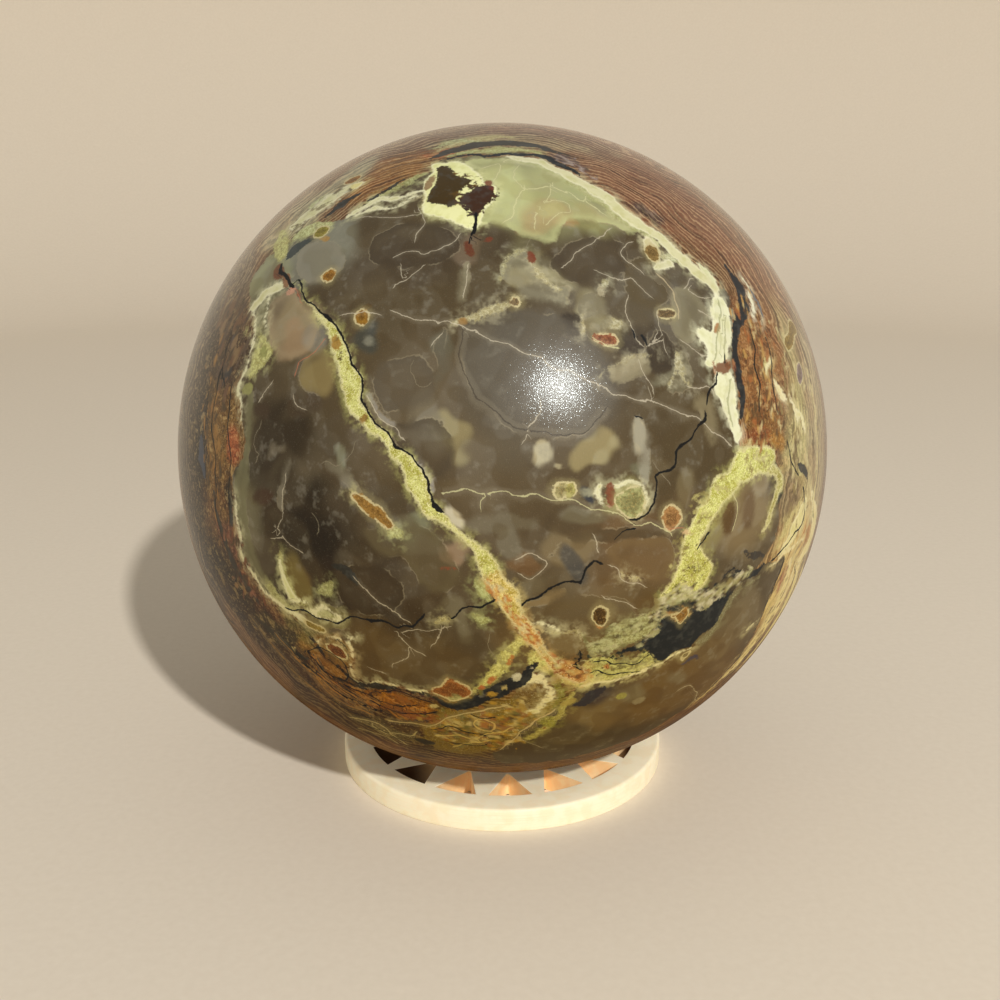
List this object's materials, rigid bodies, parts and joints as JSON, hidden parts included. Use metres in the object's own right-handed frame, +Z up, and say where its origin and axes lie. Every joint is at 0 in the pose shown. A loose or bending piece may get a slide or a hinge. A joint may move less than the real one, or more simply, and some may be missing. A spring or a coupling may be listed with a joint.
{
  "type": "decorative stone sphere on a ring stand",
  "caption": "Polished petrified-wood sphere resting on a low, round, cream ring stand pierced by triangular openings.",
  "frame": {"origin": "centre of the stand's underside, on the surface that the object stands on", "axes": "+Z up through the middle of the stand and the sphere; -Y faces the viewer, with +X to the viewer's right"},
  "size_m": [0.127, 0.127, 0.1301],
  "materials": {
    "polished_stone": "high polish; smoky brown and grey opal with yellow-green veins, cream rims, black seams and rust-brown fibrous wood towards the rim",
    "cream_stand": "matte ivory, very faintly layered on its outer wall, amber where light passes into the openings"
  },
  "bodies": {
    "root": {"stone_sphere": "polished_stone", "ring_stand": "cream_stand"}
  },
  "joints": []
}
